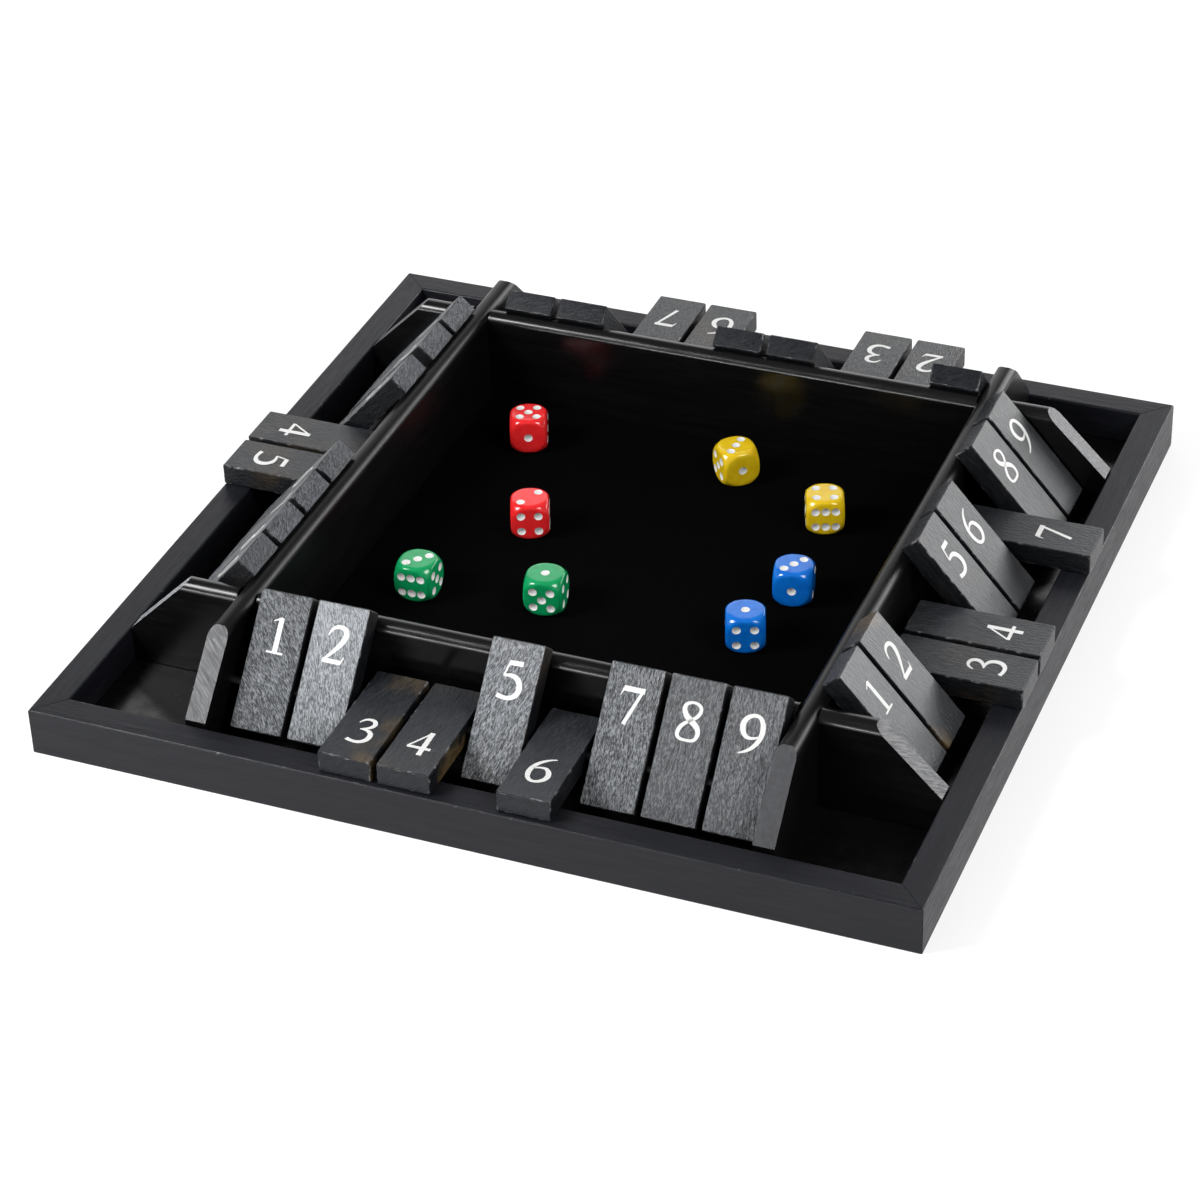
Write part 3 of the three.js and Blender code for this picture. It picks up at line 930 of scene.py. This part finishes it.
# %% All 36 tiles
worst = 0
for turn, side in enumerate(SIDES):
    for number in range(1, 10):
        body = f"{side}_{number}"
        bm = tile_mesh(body, number, turn)
        hinge = hinges[body]
        stands = hinge["range_deg"][0] == 0
        pose = Matrix.Rotation(-lean_turn(side) if stands else 0, 4, "X")
        place(bm, Matrix.Translation(hinge["pos_m"]) @ quarter_turns(turn) @ pose)
        piece = make_piece(f"numbered_{body}", bm, body, [f"tile_{body}"], TILE_FINISHES)
        worst = max(worst, off_by(piece, f"tile_{body}"))
bpy.data.meshes.remove(block_mesh)
print("tiles off their solids by mm, at most", round(worst / MM, 3))

# %% [markdown]
# ## The dice
#
# A die is a cube that has been turned inside a ball: its faces stay flat, and its corners become parts of
# the ball. So each point of a finely divided cube is pulled in to whichever surface it meets first. A high
# power blends the two, which leaves a small round where they meet. The pips are shallow dishes filled with
# white. One cutter of many spheres drills them, and the cut faces take the cutter's own material slot, so
# the paint lies in the dishes and nowhere else. A die is known by the numbers on its top, front and right
# faces, because opposite faces add up to seven.

# %% Pips of a face, and how the eight dice lie
PIPS = {
    1: [(0, 0)], 2: [(-1, -1), (1, 1)], 3: [(-1, -1), (0, 0), (1, 1)],
    4: [(-1, -1), (1, -1), (-1, 1), (1, 1)], 5: [(-1, -1), (1, -1), (0, 0), (-1, 1), (1, 1)],
    6: [(-1, -1), (0, -1), (1, -1), (-1, 1), (0, 1), (1, 1)],
}
DICE = {
    "red_back": (20.0, (5, 1, 3)), "red_front": (21.6, (2, 4, 6)), "green_left": (1.2, (3, 6, 5)),
    "green_right": (9.2, (1, 5, 4)), "yellow_left": (40.7, (3, 1, 2)), "yellow_right": (21.4, (4, 6, 2)),
    "blue_back": (11.7, (3, 1, 2)), "blue_front": (19.4, (1, 4, 2)),
}
print("turn in degrees and the three numbers", DICE)

# %% Body of a die
DIE_SIDE, corner_reach = 16 * MM, 11 * MM
EDGE_POWER, BLEND_POWER = 20, 30
die_cuts = 27


def die_body():
    bm = bmesh.new()
    bmesh.ops.create_cube(bm, size=2)
    bmesh.ops.subdivide_edges(bm, edges=bm.edges[:], cuts=die_cuts, use_grid_fill=True)
    for vert in bm.verts:
        way = Vector([math.sin(part * math.pi / 2) for part in vert.co]).normalized()
        cube_share = sum(abs(part) ** EDGE_POWER for part in way) ** (1 / EDGE_POWER) / (DIE_SIDE / 2)
        vert.co = way / (cube_share ** BLEND_POWER + corner_reach ** -BLEND_POWER) ** (1 / BLEND_POWER)
    return bm


# %% Spheres that drill the pips
pip_radius, pip_depth, pip_steps = 1.8 * MM, 0.6 * MM, 24
pip_spread, six_spread = 3.6 * MM, 4.2 * MM


def pip_cutters(top, front, right):
    ball = (pip_radius ** 2 + pip_depth ** 2) / (2 * pip_depth)
    faces = [(top, (1, 0, 0), (0, 1, 0)), (7 - top, (1, 0, 0), (0, -1, 0)),
             (front, (1, 0, 0), (0, 0, 1)), (7 - front, (-1, 0, 0), (0, 0, 1)),
             (right, (0, 1, 0), (0, 0, 1)), (7 - right, (0, -1, 0), (0, 0, 1))]
    bm = bmesh.new()
    for number, across, up in faces:
        out = Vector(across).cross(Vector(up))
        wide = six_spread if number == 6 else pip_spread
        for i, j in PIPS[number]:
            centre = Vector(across) * i * wide + Vector(up) * j * pip_spread
            centre += out * (DIE_SIDE / 2 - pip_depth + ball)
            turned = Vector((0, 0, 1)).rotation_difference(out).to_matrix().to_4x4()
            bmesh.ops.create_uvsphere(bm, u_segments=pip_steps, v_segments=pip_steps, radius=ball,
                                      matrix=Matrix.Translation(centre) @ turned)
    for face in bm.faces:
        face.material_index = 1
    return bm


# %% All eight dice
for name, (turn_deg, shows) in DICE.items():
    colour = name.split("_")[0]
    bm = carve(die_body(), pip_cutters(*shows), f"die_{name}")
    low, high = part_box(f"die_{name}")
    place(bm, Matrix.Translation((low + high) / 2) @ Matrix.Rotation(math.radians(turn_deg), 4, "Z"))
    make_piece(f"pipped_{name}", bm, name, [f"die_{name}"],
               [dice_plastic[colour], pip_paint], crease_deg=25)
print("dice", len(DICE))

# %% [markdown]
# ## Floor and room
#
# Black satin wood shows little of its own colour: what the eye sees on it are reflections. One way is an
# even white room, but then every black face turns the same grey. So the room is white only down at the
# horizon, with a dim ceiling. The floor glows only where the camera or a reflection sees it, so it looks
# white without lighting the board.

# %% Floor
FLOOR_SIZE, FLOOR_DROP, FLOOR_GLOW = 6, 0.0002, 0.52


def seen_directly(tree):
    paths = tree.nodes.new("ShaderNodeLightPath")
    seen = combine(tree, "MAXIMUM", paths.outputs["Is Camera Ray"], paths.outputs["Is Glossy Ray"])
    return combine(tree, "MAXIMUM", seen, paths.outputs["Is Transmission Ray"])


bm = bmesh.new()
bmesh.ops.create_grid(bm, x_segments=1, y_segments=1, size=FLOOR_SIZE)
floor = add_object("floor", stored_mesh("floor", bm))
floor.location.z = -FLOOR_DROP
floor_finish, tree, shader = new_material("pale_floor", (0.45, 0.45, 0.45), 0.9)
glow = tree.nodes.new("ShaderNodeEmission")
tree.links.new(combine(tree, "MULTIPLY", seen_directly(tree), FLOOR_GLOW), glow.inputs["Strength"])
both = tree.nodes.new("ShaderNodeAddShader")
tree.links.new(shader.outputs[0], both.inputs[0])
tree.links.new(glow.outputs[0], both.inputs[1])
tree.links.new(both.outputs[0], tree.nodes["Material Output"].inputs["Surface"])
floor.data.materials.append(floor_finish)
print("floor glow", FLOOR_GLOW)

# %% Room
ROOM_FILL, WHITE_UP_TO, DIM_FROM, DIM_CEILING = 0.25, 0.16, 0.42, 0.20
world = bpy.data.worlds.new("room")
scene.world = world
world.use_nodes = True
tree = world.node_tree
seen = seen_directly(tree)
way = tree.nodes.new("ShaderNodeSeparateXYZ")
tree.links.new(tree.nodes.new("ShaderNodeTexCoord").outputs["Generated"], way.inputs[0])
above_fill = remap(tree, way.outputs["Z"], WHITE_UP_TO, DIM_FROM, 1 - ROOM_FILL, DIM_CEILING - ROOM_FILL)
room = combine(tree, "ADD", combine(tree, "MULTIPLY", above_fill, seen), ROOM_FILL)
tree.links.new(room, tree.nodes["Background"].inputs["Strength"])
tree.nodes["Background"].inputs["Color"].default_value = (1, 1, 1, 1)
print("room fill", ROOM_FILL, "ceiling", DIM_CEILING)

# %% [markdown]
# ## Lamps
#
# Each of the five lamps stands where one kind of face mirrors it to the camera. Two high lamps give the
# standing tiles their glare, and a low strip draws the thin line along the wall tops. A lamp at the back
# right lights the standing faces of the right row, and a broad panel at the back left the faces that look
# up. Azimuth is counted in degrees from the front, to the right.


# %% Lamps
def soft_lamp(name, azimuth, elevation, distance, size, power):
    lamp = bpy.data.lights.new(name, "AREA")
    lamp.shape = "RECTANGLE"
    lamp.size, lamp.size_y = size
    lamp.energy = power
    holder = add_object(name, lamp)
    a, e = math.radians(azimuth), math.radians(elevation)
    way = Vector((math.sin(a) * math.cos(e), -math.cos(a) * math.cos(e), math.sin(e)))
    holder.location = distance * way
    holder.rotation_euler = holder.location.to_track_quat("Z", "Y").to_euler()


soft_lamp("high_left_lamp", azimuth=-50, elevation=38.5, distance=1.15, size=(0.42, 0.42), power=15)
soft_lamp("high_right_lamp", azimuth=70, elevation=43, distance=1.6, size=(0.6, 0.6), power=15)
soft_lamp("low_front_strip", azimuth=-19, elevation=5, distance=1.6, size=(1.1, 0.10), power=7)
soft_lamp("back_right_lamp", azimuth=142, elevation=13, distance=1.6, size=(1.6, 0.6), power=22)
soft_lamp("back_left_panel", azimuth=202, elevation=25, distance=2.5, size=(2.0, 1.4), power=11)
print("lamps", [lamp.name for lamp in bpy.data.lights])

# %% [markdown]
# ## Camera
#
# The camera stands in front of the board, to its right, and looks down on it through a long lens, so the
# board's edges hardly converge. Its place and turn were found from the corners of the frame.

# %% Camera
camera_data = bpy.data.cameras.new("camera")
camera_data.lens = 107.379
camera_data.sensor_width = 36
camera = add_object("camera", camera_data)
camera.location = (0.449554, -1.109345, 0.822982)
camera.rotation_euler = [math.radians(a) for a in (55.32841, 1.64971, 21.56895)]
scene.camera = camera
scene.view_settings.view_transform = "Standard"
print("camera lens mm", round(camera_data.lens, 3))

# %% [markdown]
# ## The end
#
# The last line brings the scene up to date.

# %% The end
bpy.context.view_layer.update()
